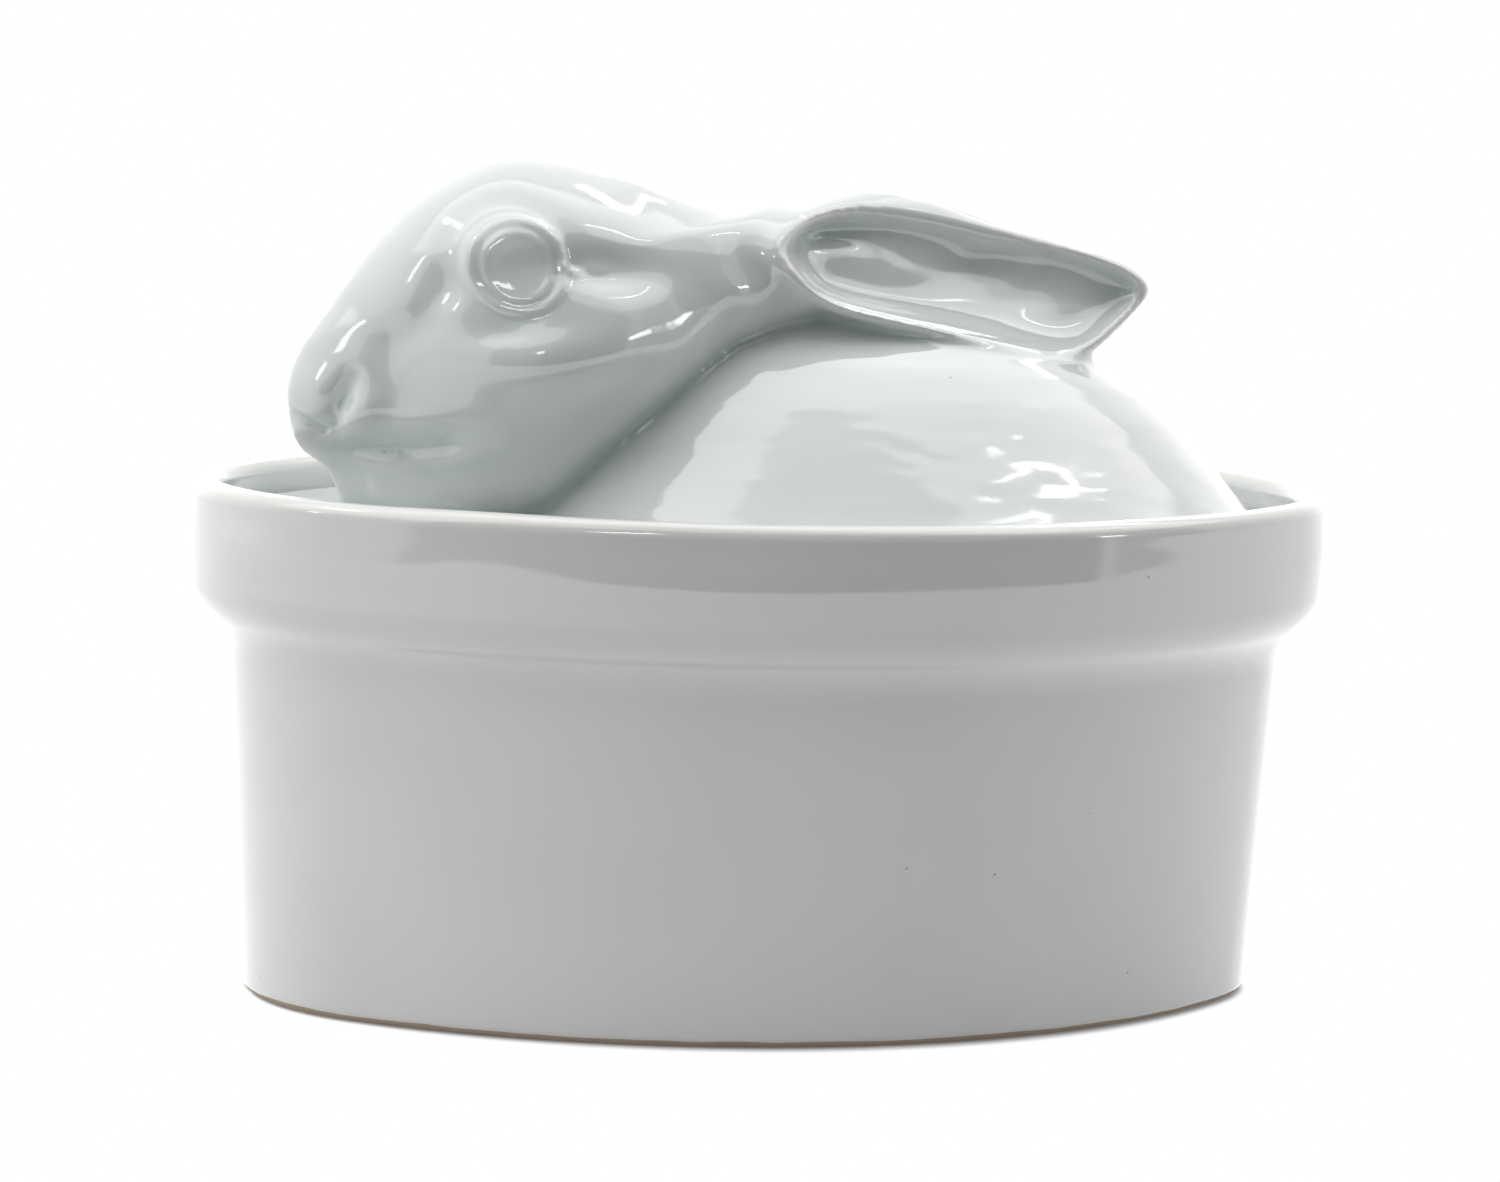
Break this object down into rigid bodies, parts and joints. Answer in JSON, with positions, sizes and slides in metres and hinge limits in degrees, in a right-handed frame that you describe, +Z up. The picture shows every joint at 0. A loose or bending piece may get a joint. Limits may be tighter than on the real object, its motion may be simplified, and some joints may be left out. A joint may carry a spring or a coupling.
{
  "type": "covered tureen",
  "caption": "Deep oval porcelain dish with a banded rim and a hollow cover in the form of a crouching rabbit whose laid-back ears are the grip.",
  "frame": {"origin": "middle of the foot, on the surface the dish stands on", "axes": "+X along the oval towards the rabbit's tail, +Y across, away from the side that the picture shows, +Z up"},
  "size_m": [0.19, 0.13, 0.1351],
  "materials": {
    "glazed_porcelain": "glossy white glaze with a cool grey-green tint"
  },
  "bodies": {
    "root": {"dish": "glazed_porcelain", "cover": "glazed_porcelain"}
  },
  "joints": []
}
